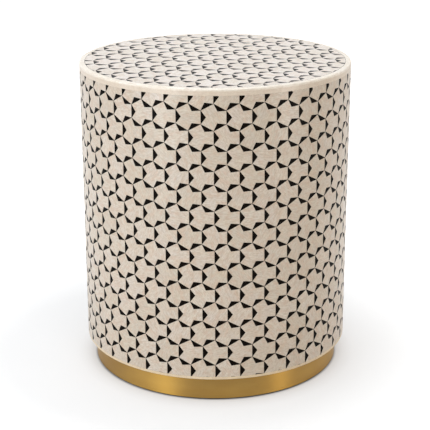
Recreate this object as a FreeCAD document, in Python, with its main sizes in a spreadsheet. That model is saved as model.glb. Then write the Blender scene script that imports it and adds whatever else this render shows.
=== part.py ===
import FreeCAD, Part
import Sketcher
import math
import os

from FreeCAD import Placement, Rotation, Vector

# Drum stool with a bone tile mosaic on a wooden drum, a recessed brass plinth and felt pads.
# Millimetres, +Z up. The origin is on the floor, on the drum's axis.

doc = FreeCAD.newDocument("DrumStool")

# Driving dimensions, in millimetres and degrees

dimensions = (
    ("drum_radius", 200.0),
    ("drum_height", 426.0),
    ("rim_width", 8.0),
    ("rim_height", 9.6),
    ("rim_chamfer", 2.0),
    ("foot_band_height", 4.0),
    ("foot_band_line", 1.45),
    ("tile_depth", 2.5),
    ("bed_depth", 1.0),
    ("tile_joint", 0.3),
    ("side_pattern_turn", -0.44),
    ("top_tile_pitch", 35.2),
    ("top_row_pitch", 31.1),
    ("top_pattern_turn", 4.3),
    ("stave_thickness", 12.0),
    ("top_board_thickness", 18.0),
    ("base_board_thickness", 18.0),
    ("former_thickness", 12.0),
    ("plinth_setback", 12.4),
    ("plinth_height", 36.0),
    ("brass_thickness", 0.8),
    ("brass_glue_line", 0.2),
    ("brass_seam_gap", 0.5),
    ("pad_side", 28.0),
    ("pad_thickness", 2.0),
    ("pad_inset", 37.6),
)

# Counts of repeated pieces

STAVE_COUNT = 24
TILE_COLUMNS = 36
TILE_COURSES = 15
PAD_COUNT = 4

# How closely an edge's radius and height have to match, and how far a tile's faces may gap

MATCH_TOLERANCE = 1e-6

sheet = doc.addObject("Spreadsheet::Sheet", "Dimensions")
for line, (alias, value) in enumerate(dimensions, start=1):
    sheet.set(f"A{line}", alias)
    sheet.set(f"B{line}", str(value))
    sheet.setAlias(f"B{line}", alias)
doc.recompute()

subparts = []


def size(alias):
    return float(getattr(sheet, alias))


def bind(target, **expressions):
    # Bind properties to expressions; a double underscore stands for a dot
    for name, expression in expressions.items():
        target.setExpression(name.replace("__", "."), expression)


def subpart(target, node, height="0"):
    # Name a finished piece and lift it to its height above the floor
    target.Label = node
    bind(target, Placement__Base__z=height)
    subparts.append(target)
    return target


def cylinder(name, radius, height):
    drawn = doc.addObject("Part::Cylinder", name)
    bind(drawn, Radius=radius, Height=height)
    return drawn


def staved_prism(name, corner_radius, height):
    drawn = doc.addObject("Part::Prism", name)
    drawn.Polygon = STAVE_COUNT
    bind(drawn, Circumradius=corner_radius, Height=height)
    return drawn


def cut(name, base, tool):
    made = doc.addObject("Part::Cut", name)
    made.Base = base
    made.Tool = tool
    return made


def origin_plane(body, role):
    return next(plane for plane in body.Origin.OriginFeatures if plane.Role == role)


def body_with_sketch(name, role):
    body = doc.addObject("PartDesign::Body", name)
    sketch = body.newObject("Sketcher::SketchObject", f"{name}_sketch")
    sketch.AttachmentSupport = (origin_plane(body, role), [""])
    sketch.MapMode = "FlatFace"
    return body, sketch


# Heights and radii that several pieces share, as expressions of the sheet

D = "Dimensions."
DRUM_FOOT = f"({D}pad_thickness + {D}plinth_height)"
DRUM_TOP = f"({DRUM_FOOT} + {D}drum_height)"
BED_RADIUS = f"({D}drum_radius - {D}tile_depth)"
STAVE_CORNER_RADIUS = f"({BED_RADIUS} - {D}bed_depth)"
HALF_STAVE = f"{180 / STAVE_COUNT}deg"
STAVE_INNER_FLAT = f"({STAVE_CORNER_RADIUS} * cos({HALF_STAVE}) - {D}stave_thickness)"
BOARD_CORNER_RADIUS = f"({STAVE_INNER_FLAT} / cos({HALF_STAVE}))"
RIM_INNER_RADIUS = f"({D}drum_radius - {D}rim_width)"
RIM_FOOT = f"({DRUM_TOP} - {D}rim_height)"
TOP_BED_FOOT = f"({DRUM_TOP} - {D}tile_depth - {D}bed_depth)"
TOP_BOARD_FOOT = f"({TOP_BED_FOOT} - {D}top_board_thickness)"
STAVE_LENGTH = f"({TOP_BOARD_FOOT} - {DRUM_FOOT})"
PLINTH_RADIUS = f"({D}drum_radius - {D}plinth_setback)"

# The same places as plain numbers, for the pieces whose shapes are made below

drum_radius = size("drum_radius")
drum_foot = size("pad_thickness") + size("plinth_height")
drum_top = drum_foot + size("drum_height")
bed_radius = drum_radius - size("tile_depth")
stave_corner_radius = bed_radius - size("bed_depth")
rim_inner_radius = drum_radius - size("rim_width")
rim_foot = drum_top - size("rim_height")
courses_foot = drum_foot + size("foot_band_height") + size("foot_band_line")
plinth_radius = drum_radius - size("plinth_setback")


def prism_from(points, rise):
    return Part.Face(Part.makePolygon(points + points[:1])).extrude(Vector(0, 0, rise))


def turned(shape, degrees, lift=0.0):
    placed = shape.copy()
    placed.Placement = Placement(Vector(0, 0, lift), Rotation(Vector(0, 0, 1), degrees))
    return placed


def feature(node, shape):
    made = doc.addObject("Part::Feature", node)
    made.Shape = shape
    made.Placement = Placement()
    made.Label = node
    subparts.append(made)
    return made


# Carcass: flat staves glued edge to edge round the boards, the top board rebated for the rim


def make_staves():
    half_angle = math.pi / STAVE_COUNT
    outer_flat = stave_corner_radius * math.cos(half_angle)
    inner_flat = outer_flat - size("stave_thickness")
    outer_half = outer_flat * math.tan(half_angle)
    inner_half = inner_flat * math.tan(half_angle)
    plan = [
        Vector(inner_flat, -inner_half, 0),
        Vector(outer_flat, -outer_half, 0),
        Vector(outer_flat, outer_half, 0),
        Vector(inner_flat, inner_half, 0),
    ]
    length = size("drum_height") - size("tile_depth") - size("bed_depth")
    length -= size("top_board_thickness")
    stave = prism_from(plan, length)
    step = 360 / STAVE_COUNT
    staves = [turned(stave, (turn + 0.5) * step, drum_foot) for turn in range(STAVE_COUNT)]
    feature("carcass_staves", Part.makeCompound(staves))


def make_boards():
    base = staved_prism("BaseBoard", BOARD_CORNER_RADIUS, f"{D}base_board_thickness")
    subpart(base, "base_board", DRUM_FOOT)

    former = staved_prism("Former", BOARD_CORNER_RADIUS, f"{D}former_thickness")
    middle = f"{DRUM_FOOT} + ({STAVE_LENGTH} - {D}former_thickness) / 2"
    subpart(former, "middle_former", middle)

    shoulder = f"({RIM_FOOT} - {TOP_BOARD_FOOT})"
    lower = staved_prism("TopBoardLower", STAVE_CORNER_RADIUS, shoulder)
    upper = staved_prism("TopBoardUpper", RIM_INNER_RADIUS, f"{D}top_board_thickness")
    board = doc.addObject("Part::Fuse", "TopBoard")
    board.Base = upper
    board.Tool = lower
    subpart(board, "top_board", TOP_BOARD_FOOT)


# Black resin beds behind the tiles: round outside, and filling out to the flat staves inside


def make_beds():
    height = f"{D}drum_height - {D}rim_height - {D}foot_band_height"
    outside = cylinder("SideBedOutside", BED_RADIUS, height)
    inside = staved_prism("SideBedInside", STAVE_CORNER_RADIUS, height)
    side = cut("SideBed", outside, inside)
    subpart(side, "side_resin_bed", f"{DRUM_FOOT} + {D}foot_band_height")

    top = staved_prism("TopBed", RIM_INNER_RADIUS, f"{D}bed_depth")
    subpart(top, "top_resin_bed", TOP_BED_FOOT)


# Plain bone edges: the rim ring with its eased outer arris, and the thin band at the foot


def make_rim_ring():
    body, sketch = body_with_sketch("RimRing", "XZ_Plane")
    inner, outer, rise = rim_inner_radius, drum_radius, size("rim_height")
    corners = [Vector(x, y, 0) for x, y in ((inner, 0), (outer, 0), (outer, rise), (inner, rise))]
    for start, end in zip(corners, corners[1:] + corners[:1]):
        sketch.addGeometry(Part.LineSegment(start, end))
    for first, second in ((0, 1), (1, 2), (2, 3), (3, 0)):
        sketch.addConstraint(Sketcher.Constraint("Coincident", first, 2, second, 1))
    sketch.addConstraint(Sketcher.Constraint("Horizontal", 0))
    sketch.addConstraint(Sketcher.Constraint("Horizontal", 2))
    sketch.addConstraint(Sketcher.Constraint("Vertical", 1))
    sketch.addConstraint(Sketcher.Constraint("Vertical", 3))
    sketch.addConstraint(Sketcher.Constraint("PointOnObject", 0, 1, -1))
    named = (
        ("inner", Sketcher.Constraint("DistanceX", -1, 1, 0, 1, inner)),
        ("width", Sketcher.Constraint("DistanceX", 0, 1, 0, 2, outer - inner)),
        ("rise", Sketcher.Constraint("DistanceY", 1, 1, 1, 2, rise)),
    )
    for name, constraint in named:
        sketch.renameConstraint(sketch.addConstraint(constraint), name)
    sketch.setExpression("Constraints.inner", RIM_INNER_RADIUS)
    sketch.setExpression("Constraints.width", f"{D}rim_width")
    sketch.setExpression("Constraints.rise", f"{D}rim_height")
    ring = body.newObject("PartDesign::Revolution", "RimRing_revolution")
    ring.Profile = sketch
    ring.ReferenceAxis = (sketch, ["V_Axis"])
    ring.Angle = 360
    doc.recompute()
    arris = body.newObject("PartDesign::Chamfer", "RimRing_arris")
    arris.Base = (ring, [outer_edge(ring.Shape, outer, rise)])
    bind(arris, Size=f"{D}rim_chamfer")
    subpart(body, "rim_ring", RIM_FOOT)


def outer_edge(shape, radius, height):
    # Name of the circular edge at this radius and height
    for number, edge in enumerate(shape.Edges, start=1):
        circle = edge.Curve
        if circle.TypeId == "Part::GeomCircle" and abs(circle.Radius - radius) < MATCH_TOLERANCE:
            if abs(circle.Center.z - height) < MATCH_TOLERANCE:
                return f"Edge{number}"
    raise ValueError("no edge at that radius and height")


def make_foot_band():
    outside = cylinder("FootBandOutside", f"{D}drum_radius", f"{D}foot_band_height")
    inside = staved_prism("FootBandInside", STAVE_CORNER_RADIUS, f"{D}foot_band_height")
    subpart(cut("FootBand", outside, inside), "foot_band", DRUM_FOOT)


# Bone tiles: a hexagon with a triangular notch in three of its sides, so that each tile is a
# three-armed piece and the notches show the black bed. The edges are cut back steeply under the
# face, as they are on real tiles so that resin fills in behind them, and meet on the bed.

ACROSS_SHARES = (0, 1 / 3, 1, 1, 1 / 3, 0, -1, -2 / 3, -1)
UP_SHARES = (1, 1 / 2, 1 / 2, -1 / 2, -1 / 2, -1, -1 / 2, 0, 1 / 2)

# Rows of hexagons lie this many half heights apart

HEX_ROW_SHARE = 1.5

# A sliver of a tile smaller than this at the rim is left out

SMALLEST_CUT_TILE_SHARE = 0.06

# The last course's centres stand this share of a course above the line of resin at the foot

LAST_CENTRE_SHARE = 0.329


def bone_tile(half_width, half_height, face, bed):
    # The tile faces -Y: its front lies at y = -face and its back touches y = -bed
    front = [
        Vector(across * half_width, -face, up * half_height)
        for across, up in zip(ACROSS_SHARES, UP_SHARES)
    ]
    seat = Vector(0, -bed, 0)
    outlines = [front]
    outlines += [[start, end, seat] for start, end in zip(front, front[1:] + front[:1])]
    faces = [Part.Face(Part.makePolygon(outline + outline[:1])) for outline in outlines]
    solid = Part.Solid(Part.makeShell(faces))
    solid.fix(MATCH_TOLERANCE, MATCH_TOLERANCE, MATCH_TOLERANCE)
    if solid.Volume < 0:
        solid.reverse()
    return solid


def make_side_tiles():
    # Courses stand half a column apart and share out the height. The rim cuts the top course
    # along its middle, and the bottom one stops at a line of resin above the foot band.
    step = 360 / TILE_COLUMNS
    half_step = math.radians(step / 2)
    row_pitch = (rim_foot - courses_foot) / (TILE_COURSES - 1 + LAST_CENTRE_SHARE)
    half_height = row_pitch / HEX_ROW_SHARE
    joint = size("tile_joint") / 2
    half_width = drum_radius * math.sin(half_step)
    narrowed = 1 - joint / half_width
    tile = bone_tile(
        half_width * narrowed,
        half_height * narrowed,
        drum_radius * math.cos(half_step),
        bed_radius,
    )
    reach = drum_radius + size("rim_width")
    field = Part.makeCylinder(reach, rim_foot - courses_foot, Vector(0, 0, courses_foot))
    for row in range(TILE_COURSES):
        centre = rim_foot - row * row_pitch
        placed = turned(tile, 0, centre)
        if centre + half_height > rim_foot or centre - half_height < courses_foot:
            placed = placed.common(field).Solids[0]
        start = size("side_pattern_turn") + (0.5 * step if row % 2 == 0 else 0)
        course = []
        for column in range(TILE_COLUMNS):
            tile_copy = placed.copy()
            tile_copy.rotate(Vector(0, 0, 0), Vector(0, 0, 1), start + column * step)
            course.append(tile_copy)
        feature(f"side_tiles_course_{row + 1:02d}", Part.makeCompound(course))


def make_top_tiles():
    # The same tile laid flat about a middle tile on the axis, trimmed straight along the rim
    pitch = size("top_tile_pitch")
    row_pitch = size("top_row_pitch")
    half_width = (pitch - size("tile_joint")) / 2
    half_height = row_pitch / HEX_ROW_SHARE * half_width / (pitch / 2)
    tile = bone_tile(half_width, half_height, 0, -size("tile_depth"))
    tile.rotate(Vector(0, 0, 0), Vector(1, 0, 0), -90)
    inside = rim_inner_radius - size("tile_joint")
    edge = []
    for corner in range(TILE_COLUMNS):
        angle = 2 * math.pi * corner / TILE_COLUMNS
        edge.append(Vector(math.cos(angle), math.sin(angle), 0) * inside)
    field = prism_from(edge, size("rim_height"))
    field.translate(Vector(0, 0, drum_top - size("rim_height")))
    reach = math.ceil(rim_inner_radius / row_pitch) + 1
    turn = Rotation(Vector(0, 0, 1), size("top_pattern_turn"))
    smallest = SMALLEST_CUT_TILE_SHARE * tile.Volume
    tiles = []
    for row in range(-reach, reach + 1):
        shift = 0.5 if row % 2 else 0
        for column in range(-reach, reach + 1):
            place = turn.multVec(Vector((column + shift) * pitch, row * row_pitch, 0))
            if place.Length > inside + half_height:
                continue
            seat = Placement(place + Vector(0, 0, drum_top), turn)
            placed = tile.copy()
            placed.Placement = seat.multiply(tile.Placement)
            if place.Length + half_height > inside:
                pieces = placed.common(field).Solids
                tiles += [piece for piece in pieces if piece.Volume > smallest]
            else:
                tiles.append(placed)
    feature("top_tiles", Part.makeCompound(tiles))


# Plinth: a round core set back under the drum, wrapped in a brass sheet butted at the back


def make_plinth_core():
    body, sketch = body_with_sketch("PlinthCore", "XY_Plane")
    radius = plinth_radius - size("brass_thickness") - size("brass_glue_line")
    sketch.addGeometry(Part.Circle(Vector(0, 0, 0), Vector(0, 0, 1), radius))
    sketch.addConstraint(Sketcher.Constraint("Coincident", 0, 3, -1, 1))
    sketch.renameConstraint(sketch.addConstraint(Sketcher.Constraint("Radius", 0, radius)), "radius")
    core_radius = f"{PLINTH_RADIUS} - {D}brass_thickness - {D}brass_glue_line"
    sketch.setExpression("Constraints.radius", core_radius)
    pad = body.newObject("PartDesign::Pad", "PlinthCore_pad")
    pad.Profile = sketch
    bind(pad, Length=f"{D}plinth_height")
    subpart(body, "plinth_core", f"{D}pad_thickness")


def make_brass_band():
    outside = cylinder("BrassOutside", PLINTH_RADIUS, f"{D}plinth_height")
    core = f"{PLINTH_RADIUS} - {D}brass_thickness"
    inside = cylinder("BrassInside", core, f"{D}plinth_height")
    tube = cut("BrassTube", outside, inside)
    seam = doc.addObject("Part::Box", "BrassSeam")
    bind(seam, Length=f"{D}brass_seam_gap", Width=PLINTH_RADIUS, Height=f"{D}plinth_height")
    bind(seam, Placement__Base__x=f"-{D}brass_seam_gap / 2")
    subpart(cut("BrassBand", tube, seam), "brass_band", f"{D}pad_thickness")


def make_felt_pads():
    side = size("pad_side")
    pad_circle_radius = plinth_radius - size("pad_inset")
    corner = Vector(pad_circle_radius - side / 2, -side / 2, 0)
    pad = Part.makeBox(side, side, size("pad_thickness"), corner)
    step = 360 / PAD_COUNT
    pads = [turned(pad, (turn + 0.5) * step) for turn in range(PAD_COUNT)]
    feature("felt_pads", Part.makeCompound(pads))


make_staves()
make_boards()
make_beds()
make_rim_ring()
make_foot_band()
make_side_tiles()
make_top_tiles()
make_plinth_core()
make_brass_band()
make_felt_pads()
doc.recompute()

for made in doc.Objects:
    if "Invalid" in made.State or "Error" in made.State:
        raise RuntimeError(f"{made.Label} failed to recompute")
for piece in subparts:
    if piece.Shape.isNull() or not piece.Shape.isValid() or not piece.Shape.Solids:
        raise RuntimeError(f"{piece.Label} has no valid solid")

os.makedirs("parts", exist_ok=True)
for piece in subparts:
    piece.Shape.exportStep(f"parts/{piece.Label}.step")
    print(f"{piece.Label}: {len(piece.Shape.Solids)} solids, {piece.Shape.Volume:.0f} mm3")
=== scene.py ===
import math
import random

import bmesh
import bpy
from mathutils import Matrix, Vector


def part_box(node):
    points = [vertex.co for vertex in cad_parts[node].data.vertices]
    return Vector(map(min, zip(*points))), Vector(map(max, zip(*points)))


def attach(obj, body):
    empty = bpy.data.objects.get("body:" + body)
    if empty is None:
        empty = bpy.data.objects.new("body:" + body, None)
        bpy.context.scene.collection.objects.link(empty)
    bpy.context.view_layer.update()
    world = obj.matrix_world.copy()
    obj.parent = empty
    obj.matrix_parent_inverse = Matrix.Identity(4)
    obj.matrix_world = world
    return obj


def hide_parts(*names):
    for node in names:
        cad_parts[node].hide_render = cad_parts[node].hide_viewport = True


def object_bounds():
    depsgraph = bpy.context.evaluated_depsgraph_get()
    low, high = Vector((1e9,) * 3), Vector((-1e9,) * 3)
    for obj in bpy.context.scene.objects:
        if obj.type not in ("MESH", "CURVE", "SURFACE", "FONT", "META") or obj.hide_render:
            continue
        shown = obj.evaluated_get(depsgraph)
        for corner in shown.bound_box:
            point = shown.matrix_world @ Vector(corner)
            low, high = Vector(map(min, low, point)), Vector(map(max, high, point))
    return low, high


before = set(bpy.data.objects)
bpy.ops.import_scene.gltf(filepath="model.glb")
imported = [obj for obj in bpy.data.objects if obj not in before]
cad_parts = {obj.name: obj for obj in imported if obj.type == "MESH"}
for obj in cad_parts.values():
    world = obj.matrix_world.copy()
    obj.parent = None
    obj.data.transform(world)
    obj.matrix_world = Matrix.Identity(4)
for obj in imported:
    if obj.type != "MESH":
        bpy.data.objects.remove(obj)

# A drum stool with a bone tile mosaic: metres, +Z up, the floor at z = 0 and the photograph's
# camera in front of it, at -Y.

CAD_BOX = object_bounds()
MM = 0.001
UP = Vector((0, 0, 1))
FLAT_UP = Vector((0, 1, 0))
FULL_TURN = 2 * math.pi

# Sizes that the frame gives

DRUM_RADIUS = min(abs(CAD_BOX[0].x), abs(CAD_BOX[0].y), CAD_BOX[1].x, CAD_BOX[1].y)
RIM_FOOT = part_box("rim_ring")[0].z
DRUM_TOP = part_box("rim_ring")[1].z
DRUM_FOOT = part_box("foot_band")[0].z
BAND_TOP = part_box("foot_band")[1].z
PLINTH_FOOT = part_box("brass_band")[0].z
PLINTH_RADIUS = (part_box("brass_band")[1].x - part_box("brass_band")[0].x) / 2
TOP_BED_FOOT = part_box("top_resin_bed")[0].z

# Sizes of the tiles and of the resin between them

TILE_DEPTH = 2.5 * MM
TILE_JOINT = 0.3 * MM
TILE_EASE = 0.1 * MM
TILE_WOBBLE = 0.22 * MM
UP_WOBBLE = 0.6
RESIN_SINK = 0.05 * MM
RESIN_BEHIND = 0.9 * MM

# A tile is a hexagon with a notch in every other side. Its points are in shares of half its width and
# half its height, and a notch goes in by this share of its half width. The points of one course reach
# in between those of the next, so that courses are only 1.5 half heights apart.
NOTCH = 0.42
NOTCH_LEFT = 1 - NOTCH
ACROSS_SHARES = (0, NOTCH_LEFT / 2, 1, 1, NOTCH_LEFT / 2, 0, -1, -NOTCH_LEFT, -1)
UP_SHARES = (1, NOTCH_LEFT * 3 / 4, 1 / 2, -1 / 2, -NOTCH_LEFT * 3 / 4, -1, -1 / 2, 0, 1 / 2)
COURSE_STEP = 1.5
# The places on those lists of the points round its right foot.
FOOT_POINTS = (3, 4)

# The mosaic on the side. Its tiles are cut into narrow strips that bend round the drum.
COLUMNS = 36
COURSES = 15
SIDE_TURN = math.radians(-0.44)
BEND_STRIP = 4.4 * MM
# This share of the lowest course's tiles have their right foot too high, by between these two, in mm.
RAISED_SHARE = 0.4
RAISED = (0.3, 1.3)
SIDE_SEED = 100

# The mosaic on the seat. Offcuts narrower than a sliver are left out.
TOP_PITCH = 37 * MM
TOP_ROW_PITCH = 31.7 * MM
TOP_TURN = math.radians(6.2)
SLIVER = 2 * MM
SEAT_SEED = 7

# A tile's grain swings by up to this many radians from one of its arms. Each piece has its own place in
# its material's noise, up to this many metres along each axis.
GRAIN_SWING = 0.25
GRAIN_REACH = 5

# How far the hand-laid tiles stray from an even lattice, in mm along it and up it, as measured in the
# photograph at nine spots of the side and nine of the seat. In a row: left, middle, right.
SIDE_RIM_STRAY = ((7.6, -0.8), (-0.9, -1.2), (5.4, -3.6))
SIDE_MIDDLE_STRAY = ((3.8, -1.8), (0.2, 0.2), (6.8, -1.5))
SIDE_FOOT_STRAY = ((-0.1, -6.6), (1.2, -2.1), (8.1, -3.2))
SEAT_FRONT_STRAY = ((-5.7, -11.9), (-6.9, -1.3), (-11.4, 5.9))
SEAT_MIDDLE_STRAY = ((-10.0, -2.6), (-6.4, 5.4), (-7.8, -0.4))
SEAT_BACK_STRAY = ((-11.0, -2.0), (-5.0, 0.3), (-4.8, 4.5))
# The side's spots go out to its outline, its rim and its foot. The seat's go out this far along each axis.
SEAT_SPOT = 130 * MM

# Sizes of the bone edges

# A strip's length is drawn from between the two that are given.
RIM_WIDTH = 8 * MM
RIM_ROUND = 2.5 * MM
RIM_EASE = 0.25 * MM
RIM_STRIPS = (34 * MM, 60 * MM)
RIM_SEED = 11
FOOT_DEPTH = 3.4 * MM
FOOT_ROUND = 0.6 * MM
FOOT_EASE = 0.1 * MM
FOOT_STRIPS = (40 * MM, 75 * MM)
FOOT_SEED = 12
STRIP_GAP = 0.12 * MM

# Sizes of the brass sheet and of the felt pads

BRASS_SHEET = 0.8 * MM
BRASS_EASE = 0.2 * MM
BRASS_SEAM = 0.5 * MM
BRASS_WAVE = 0.12 * MM
BRASS_LEVELS = 8
PAD_SIDE = 28 * MM
PAD_REACH = 150 * MM
PAD_EASE = 0.6 * MM

# How finely things are cut

# These are facets in a full turn, the angle from which an edge stays sharp, and how near to a cut's plane
# a vertex counts as on it, in metres.
ROUND_STEPS = 288
SEAT_STEPS = 144
SHARP = math.radians(40)
CUT_REACH = 1e-7


# Materials


class Nodes:
    """The node tree of a new material, or of a world, with short ways to add and join nodes."""

    def __init__(self, name, world=False):
        self.owner = (bpy.data.worlds if world else bpy.data.materials).new(name)
        self.owner.use_nodes = True
        self.tree = self.owner.node_tree
        self.shader = self.tree.nodes["Background" if world else "Principled BSDF"]

    def put(self, socket, value):
        """Join an output to a socket, or give the socket a value of its own."""
        if isinstance(value, bpy.types.NodeSocket):
            self.tree.links.new(value, socket)
        elif isinstance(value, bpy.types.Node):
            self.tree.links.new(value.outputs[0], socket)
        else:
            socket.default_value = value

    def fill(self, node, inputs):
        """Put values in a node's inputs. Their names have _ in place of a space."""
        for name, value in inputs.items():
            self.put(node.inputs[name.replace("_", " ")], value)

    def add(self, kind, **inputs):
        made = self.tree.nodes.new(kind)
        self.fill(made, inputs)
        return made

    def set(self, **inputs):
        self.fill(self.shader, inputs)

    def place(self):
        return self.add("ShaderNodeTexCoord").outputs["Object"]

    def height(self):
        return self.add("ShaderNodeSeparateXYZ", Vector=self.place()).outputs["Z"]

    def attribute(self, name):
        made = self.add("ShaderNodeAttribute")
        made.attribute_name = name
        return made

    def stretch(self, vector, scale):
        return self.add("ShaderNodeMapping", Vector=vector, Scale=scale)

    def length(self, vector):
        made = self.add("ShaderNodeVectorMath", Vector=vector)
        made.operation = "LENGTH"
        return made.outputs["Value"]

    def math(self, operation, first, second):
        made = self.tree.nodes.new("ShaderNodeMath")
        made.operation = operation
        self.put(made.inputs[0], first)
        self.put(made.inputs[1], second)
        return made.outputs[0]

    def noise(self, vector, scale, detail, rough=0.55):
        made = self.add("ShaderNodeTexNoise", Vector=vector, Scale=scale, Detail=detail, Roughness=rough)
        return made.outputs["Fac"]

    def between(self, value, low, high, to_low=0.0, to_high=1.0):
        """The value's way from low to high, drawn out to go from to_low to to_high."""
        ends = {"From_Min": low, "From_Max": high, "To_Min": to_low, "To_Max": to_high}
        return self.add("ShaderNodeMapRange", Value=value, **ends).outputs[0]

    def mix(self, factor, first, second):
        made = self.tree.nodes.new("ShaderNodeMix")
        made.data_type = "RGBA"
        self.put(made.inputs[0], factor)
        self.put(made.inputs[6], first)
        self.put(made.inputs[7], second)
        return made.outputs[2]

    def stain(self, base, value, low, high, most, tint):
        """The base with a tint over it: none where the value is low, and the most where it is high."""
        return self.mix(self.between(value, low, high, 0.0, most), base, tint)

    def ramp(self, factor, stops):
        made = self.add("ShaderNodeValToRGB", Fac=factor)
        points = made.color_ramp.elements
        while len(points) < len(stops):
            points.new(1.0)
        for point, (position, tone) in zip(points, stops):
            point.position = position
            point.color = tone
        return made.outputs[0]

    def seen(self):
        """1 on rays from the camera, from a reflection and through glass, and 0 on all others."""
        path = self.add("ShaderNodeLightPath").outputs
        direct = self.math("MAXIMUM", path["Is Camera Ray"], path["Is Glossy Ray"])
        return self.math("MAXIMUM", direct, path["Is Transmission Ray"])

    def bump(self, height, strength, distance, under=None):
        made = self.add("ShaderNodeBump", Height=height, Strength=strength, Distance=distance)
        if under is not None:
            self.put(made.inputs["Normal"], under)
        return made.outputs[0]


def colour(red, green, blue):
    """The linear colour of an sRGB one that is written from 0 to 255."""
    linear = []
    for level in (red / 255, green / 255, blue / 255):
        linear.append(level / 12.92 if level <= 0.04045 else ((level + 0.055) / 1.055) ** 2.4)
    return (*linear, 1.0)


# The bone's colours. A piece draws a tone from 0 to 1, which says where on its list it stands.

TILE_TONES = (
    (0.0, colour(213, 204, 191)),
    (0.3, colour(218, 209, 197)),
    (0.55, colour(221, 211, 200)),
    (0.8, colour(223, 213, 203)),
    (1.0, colour(226, 218, 208)),
)
# The seat's bone is painted paler than the side's: painted light from the lamps above, on the same bone.
SEAT_PAINTED_LIGHT_TONES = (
    (0.0, colour(235, 227, 219)),
    (0.3, colour(239, 232, 225)),
    (0.55, colour(242, 234, 228)),
    (0.8, colour(244, 236, 231)),
    (1.0, colour(247, 241, 236)),
)
FOOT_TONES = (
    (0.0, colour(236, 215, 179)),
    (1.0, colour(242, 223, 190)),
)
RIM_SIDE_TONES = (
    (0.0, colour(229, 215, 197)),
    (1.0, colour(233, 220, 204)),
)
RIM_HIGHLIGHT_TONES = (
    (0.0, colour(249, 240, 226)),
    (1.0, colour(252, 244, 233)),
)
# The rim's top and its rounded arris are painted paler than its side, a painted highlight from the light
# above. Its two lists blend into each other between these heights.
RIM_HIGHLIGHT_START = DRUM_TOP - 4.4 * MM
RIM_HIGHLIGHT_FULL = DRUM_TOP - 2.6 * MM


def bone_material(name, tones, figure=1.0, highlight_tones=None):
    """Polished bone in its piece's tone, with clouds, fibres and pores along the piece's grain.

    The figure says how strongly the clouds and fibres show. Where a second list of tones is given, the piece
    is painted paler from it towards its top, a painted highlight.
    """
    n = Nodes(name)
    tone = n.attribute("tone").outputs["Fac"]
    grain = n.attribute("grain").outputs["Vector"]
    base = n.ramp(tone, tones)
    # Painted highlight: paler tones blended in towards the top of the piece.
    if highlight_tones:
        painted_highlight = n.between(n.height(), RIM_HIGHLIGHT_START, RIM_HIGHLIGHT_FULL)
        base = n.mix(painted_highlight, base, n.ramp(tone, highlight_tones))
    cloud = n.noise(grain, 70.0, 3.0)
    base = n.stain(base, cloud, 0.35, 0.7, 0.34 * figure, colour(226, 209, 180))
    patch = n.noise(n.stretch(grain, (1.0, 1.6, 1.0)), 115.0, 2.0)
    base = n.stain(base, patch, 0.46, 0.66, 0.6 * figure, colour(216, 189, 167))
    mottle = n.noise(n.stretch(grain, (1.0, 1.4, 1.0)), 330.0, 3.0, 0.6)
    base = n.stain(base, mottle, 0.42, 0.62, 0.4 * figure, colour(188, 175, 152))
    fibre = n.noise(n.stretch(grain, (0.2, 1.0, 1.0)), 750.0, 3.0, 0.6)
    base = n.stain(base, fibre, 0.44, 0.62, 0.38 * figure, colour(180, 156, 131))
    streak = n.noise(n.stretch(grain, (0.16, 1.0, 1.0)), 2400.0, 4.0, 0.65)
    base = n.stain(base, streak, 0.42, 0.75, 0.2, colour(172, 150, 124))
    pores = n.noise(n.stretch(grain, (0.3, 1.0, 1.0)), 5200.0, 1.0, 0.4)
    base = n.stain(base, pores, 0.66, 0.78, 0.45, colour(120, 96, 72))
    fine = n.bump(streak, 0.25, 0.05 * MM)
    n.set(Base_Color=base, Roughness=n.between(cloud, 0.3, 0.7, 0.28, 0.38))
    n.set(Normal=n.bump(pores, 0.2, 0.04 * MM, fine), IOR=1.5)
    return n.owner


def resin_material(name, shine):
    """Black resin poured round the tiles and rubbed down with them, a little dusty."""
    n = Nodes(name)
    place = n.place()
    cloud = n.noise(place, 60.0, 4.0)
    base = n.mix(n.between(cloud, 0.35, 0.7), colour(6, 3, 1), colour(13, 7, 3))
    dust = n.noise(place, 2600.0, 2.0)
    base = n.stain(base, dust, 0.66, 0.85, 0.1, colour(58, 45, 32))
    n.set(Base_Color=base, Roughness=n.between(cloud, 0.3, 0.7, 0.42, 0.6))
    n.set(Normal=n.bump(dust, 0.3, 0.05 * MM), Specular_IOR_Level=shine)
    return n.owner


def brass_material():
    """Lacquered satin brass: brushed along the band, a little clouded and spotted."""
    n = Nodes("brass")
    band = n.attribute("grain").outputs["Vector"]
    cloud = n.noise(n.stretch(band, (1.0, 3.0, 1.0)), 14.0, 3.0)
    base = n.mix(n.between(cloud, 0.35, 0.65), colour(157, 120, 44), colour(167, 131, 54))
    brushed = n.noise(n.stretch(band, (0.012, 1.0, 1.0)), 5200.0, 3.0, 0.7)
    base = n.stain(base, brushed, 0.4, 0.75, 0.22, colour(134, 99, 48))
    spots = n.noise(band, 420.0, 3.0)
    base = n.stain(base, spots, 0.62, 0.8, 0.35, colour(128, 92, 48))
    n.set(Base_Color=base, Metallic=1.0, Roughness=n.between(cloud, 0.3, 0.7, 0.46, 0.54))
    n.set(Normal=n.bump(brushed, 0.35, 0.06 * MM), Specular_Tint=colour(214, 188, 150))
    tangent = n.add("ShaderNodeTangent")
    tangent.direction_type = "RADIAL"
    tangent.axis = "Z"
    n.set(Anisotropic=0.8, Anisotropic_Rotation=0.25, Tangent=tangent)
    n.set(Coat_Weight=0.8, Coat_Roughness=0.4)
    return n.owner


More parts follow.
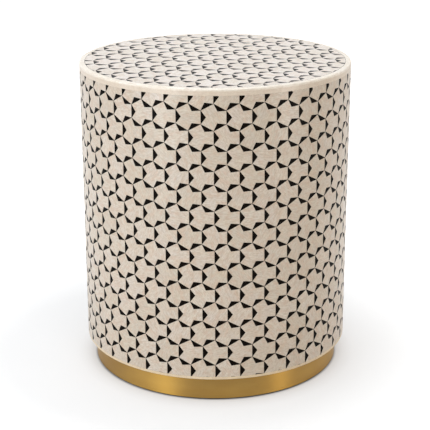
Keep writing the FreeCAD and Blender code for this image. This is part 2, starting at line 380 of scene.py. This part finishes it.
def wood_material(name, light, dark, grain_along):
    """Plain wood with its rings drawn out along the grain."""
    n = Nodes(name)
    drawn = n.stretch(n.place(), tuple(0.06 if axis == grain_along else 1.0 for axis in "xyz"))
    rings = n.noise(drawn, 55.0, 5.0, 0.6)
    base = n.mix(n.between(rings, 0.35, 0.65), light, dark)
    fibres = n.noise(drawn, 900.0, 3.0, 0.6)
    base = n.stain(base, fibres, 0.45, 0.7, 0.4, dark)
    n.set(Base_Color=base, Roughness=n.between(fibres, 0.3, 0.7, 0.6, 0.8))
    n.set(Normal=n.bump(fibres, 0.5, 0.2 * MM), Specular_IOR_Level=0.35)
    return n.owner


def felt_material():
    """Dark grey wool felt."""
    n = Nodes("felt")
    fuzz = n.noise(n.place(), 1800.0, 6.0, 0.8)
    base = n.mix(n.between(fuzz, 0.35, 0.65), colour(58, 56, 54), colour(98, 94, 90))
    n.set(Base_Color=base, Roughness=0.95, Normal=n.bump(fuzz, 0.9, 0.3 * MM))
    n.set(Specular_IOR_Level=0.15, Sheen_Weight=0.3)
    return n.owner


# Meshes


def drawn_mesh(name, work):
    """The mesh that was drawn in this bmesh, which is freed."""
    mesh = bpy.data.meshes.new(name)
    work.to_mesh(mesh)
    work.free()
    return mesh


def added(name, mesh, material):
    """A piece of the stool with this mesh."""
    mesh.materials.append(material)
    piece = bpy.data.objects.new(name, mesh)
    bpy.context.scene.collection.objects.link(piece)
    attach(piece, "root")
    return piece


class Pieces:
    """Closed pieces gathered into one mesh, with a normal for each face corner."""

    def __init__(self):
        self.vertices, self.faces, self.normals = [], [], []
        self.tones, self.grains = [], []

    def take(self, points, faces, normals, tone, grains):
        first = len(self.vertices)
        self.vertices += points
        self.faces += [tuple(first + i for i in face) for face in faces]
        self.normals += normals
        self.tones += [tone] * len(points)
        for grain in grains:
            self.grains.extend(grain)

    def build(self, name, material):
        mesh = bpy.data.meshes.new(name)
        mesh.from_pydata(self.vertices, [], self.faces)
        mesh.shade_smooth()
        mesh.normals_split_custom_set(self.normals)
        mesh.attributes.new("tone", "FLOAT", "POINT").data.foreach_set("value", self.tones)
        mesh.attributes.new("grain", "FLOAT_VECTOR", "POINT").data.foreach_set("vector", self.grains)
        return added(name, mesh, material)


def cut(work, origin, normal, trim):
    """Cut a mesh along a plane, and trim off what lies outside it if asked."""
    found = work.verts[:] + work.edges[:] + work.faces[:]
    bmesh.ops.bisect_plane(
        work, geom=found, plane_co=origin, plane_no=normal, clear_outer=trim, dist=CUT_REACH
    )


def extrude(work, faces, shift):
    """Draw faces out by a shift, and give the vertices that moved."""
    made = bmesh.ops.extrude_face_region(work, geom=faces)
    moved = [v for v in made["geom"] if isinstance(v, bmesh.types.BMVert)]
    bmesh.ops.translate(work, verts=moved, vec=shift)
    return moved


def corner_normals(work):
    """For each face corner, the mean normal of the faces that meet there without a sharp edge."""
    normals = []
    for face in work.faces:
        for loop in face.loops:
            total = Vector()
            for other in loop.vert.link_faces:
                if other.normal.angle(face.normal, 0.0) < SHARP:
                    total += other.normal * other.calc_area()
            normals.append(total.normalized())
    return normals


def outline(half_width, half_height, draw):
    """The tile's outline in its own plane, each corner a little off, as hand-cut tiles are.

    The points on its upright sides only move up or down, so that the joints there stay closed.
    """
    points = []
    for across, up in zip(ACROSS_SHARES, UP_SHARES):
        x = across * half_width + draw.uniform(-TILE_WOBBLE, TILE_WOBBLE) * (abs(across) < 1)
        y = up * half_height + draw.uniform(-TILE_WOBBLE, TILE_WOBBLE) * UP_WOBBLE
        points.append(Vector((x, y, 0)))
    return points


def tile_mesh(points, depth, strip, cuts=()):
    """A closed tile of this outline: its face at z = 0 with eased edges, its back at -depth.

    It is trimmed by the cuts, and where a strip's width is given, its face is cut into strips.
    """
    work = bmesh.new()
    work.faces.new([work.verts.new(p) for p in points])
    if cuts:
        bmesh.ops.triangulate(work, faces=work.faces[:])
    for origin, normal in cuts:
        cut(work, origin, normal, True)
    if not work.faces:
        work.free()
        return None
    if strip:
        low, high = min(v.co.x for v in work.verts), max(v.co.x for v in work.verts)
        count = max(1, round((high - low) / strip))
        for step in range(1, count):
            cut(work, Vector((low + (high - low) * step / count, 0, 0)), (1, 0, 0), False)
    for face in work.faces:
        face.normal_update()
        if face.normal.z < 0:
            face.normal_flip()
    lowered = extrude(work, work.faces[:], (0, 0, -depth))
    front = set(work.verts) - set(lowered)
    bmesh.ops.recalc_face_normals(work, faces=work.faces[:])
    sides = [f for f in work.faces if abs(f.normal.z) < 0.5]
    edges = {e for f in sides for e in f.edges if all(v in front for v in e.verts)}
    bmesh.ops.bevel(work, geom=list(edges), offset=TILE_EASE, segments=1, affect="EDGES", clamp_overlap=True)
    work.verts.index_update()
    work.normal_update()
    flat = [v.co.copy() for v in work.verts]
    faces = [tuple(v.index for v in f.verts) for f in work.faces]
    slants = [f.normal.copy() for f in work.faces]
    work.free()
    return flat, faces, slants


def ring_piece(profile, start, sweep, steps, grain_radius, wave=None):
    """Vertices, faces, corner normals and grain of a full ring, or of one closed length of it.

    The profile is closed, in points (radius, height). The grain runs round the ring and is measured
    at its own radius. A wave moves each point in or out.
    """
    full = sweep == FULL_TURN
    rings = steps if full else steps + 1
    count = len(profile)
    points, grains = [], []
    for ring in range(rings):
        angle = start + sweep * ring / steps
        for radius, height in profile:
            reach = radius + (wave(angle, height) if wave else 0.0)
            points.append(Vector((reach * math.sin(angle), -reach * math.cos(angle), height)))
            grains.append(Vector((angle * grain_radius, height, radius)))
    work = bmesh.new()
    made = [work.verts.new(p) for p in points]
    for ring in range(steps):
        here, there = ring * count, (ring + 1) % rings * count
        for i in range(count):
            j = (i + 1) % count
            work.faces.new([made[here + i], made[here + j], made[there + j], made[there + i]])
    if not full:
        work.faces.new(made[:count])
        work.faces.new(list(reversed(made[-count:])))
    work.verts.index_update()
    bmesh.ops.recalc_face_normals(work, faces=work.faces[:])
    work.normal_update()
    faces = [tuple(v.index for v in face.verts) for face in work.faces]
    normals = corner_normals(work)
    work.free()
    return points, faces, normals, grains


def whole_ring(name, profile, material, start=0.0, sweep=FULL_TURN, wave=None):
    """A ring of this profile as one piece, in a material that needs no tone."""
    gathered = Pieces()
    points, faces, normals, grains = ring_piece(profile, start, sweep, ROUND_STEPS, profile[0][0], wave)
    gathered.take(points, faces, normals, 0.5, grains)
    return gathered.build(name, material)


def arc_points(centre, radius, start, end, steps):
    """Points of a circular arc in a profile; the angles are in degrees."""
    turns = [math.radians(start + (end - start) * i / steps) for i in range(steps + 1)]
    return [(centre[0] + radius * math.cos(t), centre[1] + radius * math.sin(t)) for t in turns]


# The mosaic


def grain_shift(draw):
    """Where a piece is in its material's noise."""
    return Vector([draw.uniform(-GRAIN_REACH, GRAIN_REACH) for _ in range(3)])


def grain_of(points, draw):
    """Coordinates along and across a tile's grain, which runs roughly as one of its three arms does."""
    turn = draw.uniform(-GRAIN_SWING, GRAIN_SWING) + draw.choice((0, 2, 4)) * math.pi / 3
    c, s = math.cos(turn), math.sin(turn)
    shift = grain_shift(draw)
    return [shift + Vector((c * p.x + s * p.y, c * p.y - s * p.x, p.z)) for p in points]


def round_point(p, angle):
    """A point of a flat tile, wrapped round the drum at this angle from the front."""
    turn = angle + p.x / DRUM_RADIUS
    reach = DRUM_RADIUS + p.z
    return Vector((reach * math.sin(turn), -reach * math.cos(turn), p.y))


def round_normal(p, slant, angle):
    """The normal that a flat tile's normal turns into when the tile is wrapped round the drum."""
    turn = angle + p.x / DRUM_RADIUS
    out = Vector((math.sin(turn), -math.cos(turn), 0))
    along = Vector((math.cos(turn), math.sin(turn), 0))
    return out * slant.z + along * slant.x + UP * slant.y


def spot_shares(place):
    """What the first, middle and last of three spots add at a place that is -1, 0 and 1 at them."""
    return (place * (place - 1) / 2, 1 - place * place, place * (place + 1) / 2)


def stray(rows, across, along):
    """The shift at a place among nine measured spots, by the smooth surface through them."""
    shift = Vector()
    for row, row_share in zip(rows, spot_shares(along)):
        for spot, share in zip(row, spot_shares(across)):
            shift += Vector((*spot, 0)) * row_share * share
    return shift * MM


def side_stray(angle, height):
    """The shift of the side mosaic at this place on the drum, along it and up."""
    depth = (RIM_FOOT - height) / (RIM_FOOT - BAND_TOP)
    rows = (SIDE_RIM_STRAY, SIDE_MIDDLE_STRAY, SIDE_FOOT_STRAY)
    return stray(rows, math.sin(angle), 2 * depth - 1)


def seat_stray(place):
    """The shift of the seat mosaic at this place."""
    rows = (SEAT_FRONT_STRAY, SEAT_MIDDLE_STRAY, SEAT_BACK_STRAY)
    return stray(rows, place.x / SEAT_SPOT, place.y / SEAT_SPOT)


def side_tiles(material):
    """Fifteen courses of tiles round the drum, half a column apart."""
    second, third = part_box("side_tiles_course_02"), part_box("side_tiles_course_03")
    pitch = (second[0].z + second[1].z - third[0].z - third[1].z) / 2
    half_width = DRUM_RADIUS * math.pi / COLUMNS
    half_height = pitch / COURSE_STEP
    narrowed = 1 - TILE_JOINT / 2 / half_width
    for course in range(COURSES):
        draw = random.Random(SIDE_SEED + course)
        centre = RIM_FOOT - course * pitch
        lowest = course == COURSES - 1
        cuts = []
        if course == 0:
            cuts.append((Vector(), FLAT_UP))
        if lowest:
            cuts.append((FLAT_UP * (BAND_TOP - centre), -FLAT_UP))
        gathered = Pieces()
        for column in range(COLUMNS):
            angle = SIDE_TURN + (column + 0.5 * (course % 2 == 0)) * FULL_TURN / COLUMNS
            points = outline(half_width * narrowed, half_height * narrowed, draw)
            if lowest and draw.random() < RAISED_SHARE:
                raised = draw.uniform(*RAISED) * MM
                for i in FOOT_POINTS:
                    points[i].y += raised
            points = [p + side_stray(angle + p.x / DRUM_RADIUS, centre + p.y) for p in points]
            flat, faces, slants = tile_mesh(points, TILE_DEPTH - RESIN_SINK, BEND_STRIP, cuts)
            placed = [round_point(p, angle) + UP * centre for p in flat]
            corners = [(flat[i], slant) for face, slant in zip(faces, slants) for i in face]
            normals = [round_normal(p, slant, angle) for p, slant in corners]
            gathered.take(placed, faces, normals, draw.random(), grain_of(flat, draw))
        name = f"course_{course + 1:02d}"
        piece = gathered.build(f"bone_{name}", material)
        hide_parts(f"side_tiles_{name}")


def circle_cuts(place, reach, inside):
    """Five straight cuts that trim a tile at the rim's inner circle."""
    if place.length + reach < inside:
        return []
    out = place.normalized()
    side = Vector((-out.y, out.x, 0))
    cuts = []
    for step in (-2, -1, 0, 1, 2):
        turn = step * reach / inside / 2
        direction = out * math.cos(turn) + side * math.sin(turn)
        cuts.append((direction * inside - place, direction))
    return cuts


def top_tiles(material):
    """The same tiles laid flat over the seat, and cut along the rim."""
    draw = random.Random(SEAT_SEED)
    gathered = Pieces()
    half_width = (TOP_PITCH - TILE_JOINT) / 2
    half_height = TOP_ROW_PITCH / COURSE_STEP * half_width / (TOP_PITCH / 2)
    inside = DRUM_RADIUS - RIM_WIDTH - TILE_JOINT
    turn = Matrix.Rotation(TOP_TURN, 3, "Z")
    reach = math.ceil(inside / TOP_ROW_PITCH) + 1
    for row in range(-reach, reach + 1):
        for column in range(-reach, reach + 1):
            laid = turn @ Vector(((column + 0.5 * (row % 2)) * TOP_PITCH, row * TOP_ROW_PITCH, 0))
            place = laid + seat_stray(laid)
            if place.length > inside + half_height:
                continue
            spread = [laid + turn @ p for p in outline(half_width, half_height, draw)]
            points = [p + seat_stray(p) - place for p in spread]
            made = tile_mesh(points, TILE_DEPTH - RESIN_SINK, 0, circle_cuts(place, half_height, inside))
            if made is None:
                continue
            flat, faces, slants = made
            if max(p.x for p in flat) - min(p.x for p in flat) < SLIVER:
                continue
            placed = [p + place + UP * DRUM_TOP for p in flat]
            normals = [slant for face, slant in zip(faces, slants) for i in face]
            gathered.take(placed, faces, normals, draw.random(), grain_of(flat, draw))
    piece = gathered.build("bone_top", material)
    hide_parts("top_tiles")


def side_resin(material):
    """Resin between the side tiles, rubbed down just under their faces."""
    outer = DRUM_RADIUS - RESIN_SINK
    inner = DRUM_RADIUS - TILE_DEPTH - RESIN_BEHIND
    profile = [(inner, BAND_TOP), (outer, BAND_TOP), (outer, RIM_FOOT), (inner, RIM_FOOT)]
    piece = whole_ring("resin_side", profile, material)
    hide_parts("side_resin_bed")


def top_resin(material):
    """Resin between the seat's tiles."""
    work = bmesh.new()
    made = bmesh.ops.create_circle(work, cap_ends=True, radius=DRUM_RADIUS - RIM_WIDTH, segments=SEAT_STEPS)
    bmesh.ops.translate(work, verts=made["verts"], vec=UP * TOP_BED_FOOT)
    extrude(work, work.faces[:], UP * (DRUM_TOP - RESIN_SINK - TOP_BED_FOOT))
    bmesh.ops.recalc_face_normals(work, faces=work.faces[:])
    piece = added("resin_top", drawn_mesh("resin_top", work), material)
    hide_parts("top_resin_bed")


# The bone edges, the plinth and the inside


def bone_strips(name, profile, node, material, lengths, seed):
    """A ring made of short bone strips butted end to end."""
    draw = random.Random(seed)
    count = round(FULL_TURN * DRUM_RADIUS / (sum(lengths) / 2))
    drawn = [draw.uniform(*lengths) for _ in range(count)]
    scale = FULL_TURN / sum(drawn)
    gap = STRIP_GAP / DRUM_RADIUS
    angle = draw.uniform(0, 1)
    gathered = Pieces()
    for length in drawn:
        sweep = length * scale
        steps = max(3, round(sweep * ROUND_STEPS / FULL_TURN))
        made = ring_piece(profile, angle + gap / 2, sweep - gap, steps, DRUM_RADIUS)
        points, faces, normals, grains = made
        shift = grain_shift(draw)
        gathered.take(points, faces, normals, draw.random(), [shift + g for g in grains])
        angle += sweep
    piece = gathered.build(name, material)
    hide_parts(node)


def rim_ring(material):
    """The bone edge round the seat, its outer arris rounded and its inner one just eased."""
    inner, outer = DRUM_RADIUS - RIM_WIDTH, DRUM_RADIUS
    profile = [(inner, RIM_FOOT), (outer, RIM_FOOT)]
    profile += arc_points((outer - RIM_ROUND, DRUM_TOP - RIM_ROUND), RIM_ROUND, 0, 90, 8)
    profile += [(inner + RIM_EASE, DRUM_TOP), (inner, DRUM_TOP - RIM_EASE)]
    bone_strips("bone_rim", profile, "rim_ring", material, RIM_STRIPS, RIM_SEED)


def foot_band(material):
    """The thin bone edge at the drum's foot."""
    inner, outer = DRUM_RADIUS - FOOT_DEPTH, DRUM_RADIUS
    profile = [(inner, DRUM_FOOT)]
    profile += arc_points((outer - FOOT_ROUND, DRUM_FOOT + FOOT_ROUND), FOOT_ROUND, -90, 0, 4)
    profile += [(outer, BAND_TOP - FOOT_EASE), (outer - FOOT_EASE, BAND_TOP), (inner, BAND_TOP)]
    bone_strips("bone_foot", profile, "foot_band", material, FOOT_STRIPS, FOOT_SEED)


def brass_wave(angle, height):
    """How far hand work has moved the brass here: inwards, and at most by the depth of a wave."""
    slow, quick = math.sin(3 * angle + 0.4), math.sin(7 * angle + 40 * height)
    return -BRASS_WAVE * (0.5 + 0.5 * slow * quick)


def brass_band(material):
    """The brass sheet round the plinth, butted at the back."""
    outer, inner = PLINTH_RADIUS, PLINTH_RADIUS - BRASS_SHEET
    low, high = PLINTH_FOOT, DRUM_FOOT
    straight = high - low - 2 * BRASS_EASE
    profile = [(inner, low), (outer - BRASS_EASE, low)]
    profile += [(outer, low + BRASS_EASE + straight * i / BRASS_LEVELS) for i in range(BRASS_LEVELS + 1)]
    profile += [(outer - BRASS_EASE, high), (inner, high)]
    seam = BRASS_SEAM / outer
    start, sweep = math.pi + seam / 2, FULL_TURN - seam
    piece = whole_ring("brass_sheet", profile, material, start, sweep, brass_wave)
    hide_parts("brass_band")


def felt_pads(material):
    """Four square felt pads with soft edges."""
    low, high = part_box("felt_pads")
    half = PAD_SIDE / 2
    work = bmesh.new()
    for degrees in (45, 135, 225, 315):
        spin = Matrix.Rotation(math.radians(degrees), 4, "Z")
        corners = ((-half, -half), (half, -half), (half, half), (-half, half))
        pad = [work.verts.new(spin @ Vector((PAD_REACH + x, y, low.z))) for x, y in corners]
        extrude(work, [work.faces.new(pad)], (0, 0, high.z - low.z))
    bmesh.ops.recalc_face_normals(work, faces=work.faces[:])
    bmesh.ops.bevel(work, geom=work.edges[:], offset=PAD_EASE, segments=3, affect="EDGES")
    mesh = drawn_mesh("felt_feet", work)
    mesh.shade_smooth()
    piece = added("felt_feet", mesh, material)
    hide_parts("felt_pads")


def dress_frame_nodes():
    """Wood on the parts of the frame that keep their own shape."""
    stave_wood = wood_material("stave_wood", colour(176, 134, 92), colour(132, 92, 58), "z")
    board_wood = wood_material("board_wood", colour(170, 128, 88), colour(124, 86, 54), "x")
    plinth_wood = wood_material("plinth_wood", colour(118, 82, 54), colour(70, 46, 30), "x")
    for name, material in (
        ("carcass_staves", stave_wood),
        ("base_board", board_wood),
        ("middle_former", board_wood),
        ("top_board", board_wood),
        ("plinth_core", plinth_wood),
    ):
        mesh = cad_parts[name].data
        mesh.materials.clear()
        mesh.materials.append(material)


# Floor, light and camera

# The floor lights the stool with its bounce colour. The camera and reflections see its shade colour, with
# white added: none under the plinth, most of it just outside, and all of it a little further out, so that a
# painted contact shadow lines the plinth.
FLOOR_REACH = 12
FLOOR_BOUNCE = (0.74, 0.69, 0.62, 1.0)
FLOOR_SHADE = (0.45, 0.45, 0.45, 1.0)
CONTACT_START = PLINTH_RADIUS - 2 * MM
CONTACT_END = PLINTH_RADIUS + 3 * MM
CONTACT_SHARE = 0.85
BESIDE_END = PLINTH_RADIUS + 30 * MM
# In the soft shadow round the stool there is only this share of the white up to the near distance, and
# all of it from the far one. The shadow's centre is to the left of the stool's axis.
SHADOW_WHITE = 0.55
SHADOW_NEAR, SHADOW_FAR = 0.27, 0.64
SHADOW_LEFT = 60 * MM

LAMP_AIM = (0, 0, 0.25)

# The photograph's camera, as found from the drum's edges and its tile pattern. Its roll is in radians,
# and its lens and sensor are in mm.
CAMERA_PLACE = Vector((0, -1.85505, 0.84782))
CAMERA_AIM = Vector((-0.0007, 0, 0.2197))
CAMERA_ROLL = -0.00215
CAMERA_LENS, CAMERA_SENSOR = 106.63, 36.0
CAMERA_NEAR, CAMERA_FAR = 0.05, 60.0


def white_floor():
    """A white floor that shows the stool's real shadow, with a painted contact shadow and a painted soft
    shadow round it, and scatters light back up to it.
    """
    n = Nodes("floor_white")
    seen = n.seen()
    far = n.length(n.place())
    # Painted contact shadow: less added white just round the plinth.
    contact = n.between(far, CONTACT_START, CONTACT_END, 0.0, CONTACT_SHARE)
    beside = n.between(far, PLINTH_RADIUS, BESIDE_END, 0.0, 1 - CONTACT_SHARE)
    aside = n.length(n.add("ShaderNodeMapping", Vector=n.place(), Location=(SHADOW_LEFT, 0, 0)))
    # Painted soft shadow: less added white near the stool, centred to its left.
    white = n.between(aside, SHADOW_NEAR, SHADOW_FAR, SHADOW_WHITE, 1.0)
    white = n.math("MULTIPLY", white, n.math("ADD", contact, beside))
    n.set(Base_Color=n.mix(seen, FLOOR_BOUNCE, FLOOR_SHADE), Roughness=0.9, Specular_IOR_Level=0.0)
    n.set(Emission_Color=(1, 1, 1, 1), Emission_Strength=n.math("MULTIPLY", seen, white))
    work = bmesh.new()
    bmesh.ops.create_grid(work, x_segments=8, y_segments=8, size=FLOOR_REACH)
    mesh = drawn_mesh("floor", work)
    mesh.materials.append(n.owner)
    floor = bpy.data.objects.new("floor", mesh)
    bpy.context.scene.collection.objects.link(floor)


def white_world():
    """A surround that is white to the camera and in reflections, and gives no other light."""
    n = Nodes("studio", world=True)
    n.set(Color=(1, 1, 1, 1), Strength=n.seen())
    bpy.context.scene.world = n.owner


def at(azimuth, reach, height):
    """A point this far from the axis, at an angle in degrees from the front towards +X."""
    turn = math.radians(azimuth)
    return (reach * math.sin(turn), -reach * math.cos(turn), height)


def softbox(name, place, size, watts, tint):
    """A soft lamp of this width and height that faces the drum."""
    data = bpy.data.lights.new(name, "AREA")
    data.shape = "RECTANGLE"
    data.size, data.size_y = size
    data.energy = watts
    data.color = tint
    lamp = bpy.data.objects.new(name, data)
    lamp.location = place
    lamp.rotation_mode = "QUATERNION"
    lamp.rotation_quaternion = (Vector(LAMP_AIM) - Vector(place)).to_track_quat("-Z", "Y")
    bpy.context.scene.collection.objects.link(lamp)


def lamps():
    """Four large soft boxes, and two small low ones that draw the streaks on the brass."""
    softbox("left_box", at(-68, 2.6, 1.2), (1.9, 1.6), 24.6, (0.91, 0.94, 1.0))
    softbox("right_box", at(105, 2.6, 1.2), (1.9, 1.6), 9.8, (1.0, 0.9, 0.79))
    softbox("top_box", (-0.2, 0.3, 3.0), (2.4, 2.4), 64.5, (0.92, 0.96, 1.0))
    softbox("front_box", at(10, 1.9, 2.9), (1.6, 1.0), 28.7, (1.0, 0.98, 0.96))
    softbox("left_strip", at(-43, 2.5, 0.3), (0.55, 0.5), 18.5, (0.93, 0.96, 1.0))
    softbox("right_strip", at(58, 2.5, 0.3), (0.2, 0.5), 12.8, (1.0, 0.95, 0.9))


def camera():
    """The photograph's view."""
    data = bpy.data.cameras.new("photo_camera")
    data.lens, data.sensor_width = CAMERA_LENS, CAMERA_SENSOR
    data.clip_start, data.clip_end = CAMERA_NEAR, CAMERA_FAR
    made = bpy.data.objects.new("photo_camera", data)
    made.location = CAMERA_PLACE
    made.rotation_mode = "QUATERNION"
    looked = (CAMERA_AIM - CAMERA_PLACE).to_track_quat("-Z", "Y")
    made.rotation_quaternion = looked @ Matrix.Rotation(CAMERA_ROLL, 4, "Z").to_quaternion()
    bpy.context.scene.collection.objects.link(made)
    bpy.context.scene.camera = made


side_tiles(bone_material("bone", TILE_TONES))
# The seat's paler tones are painted light from above.
top_tiles(bone_material("seat_bone_painted_light", SEAT_PAINTED_LIGHT_TONES, 0.75))
# The rim's paler top is a painted highlight.
rim_ring(bone_material("rim_bone_painted_highlight", RIM_SIDE_TONES, 0.35, RIM_HIGHLIGHT_TONES))
foot_band(bone_material("foot_bone", FOOT_TONES, 0.5))
side_resin(resin_material("black_resin", 0.04))
top_resin(resin_material("seat_resin", 0.12))
brass_band(brass_material())
felt_pads(felt_material())
dress_frame_nodes()
white_floor()
white_world()
lamps()
camera()
bpy.context.scene.view_settings.view_transform = "Standard"
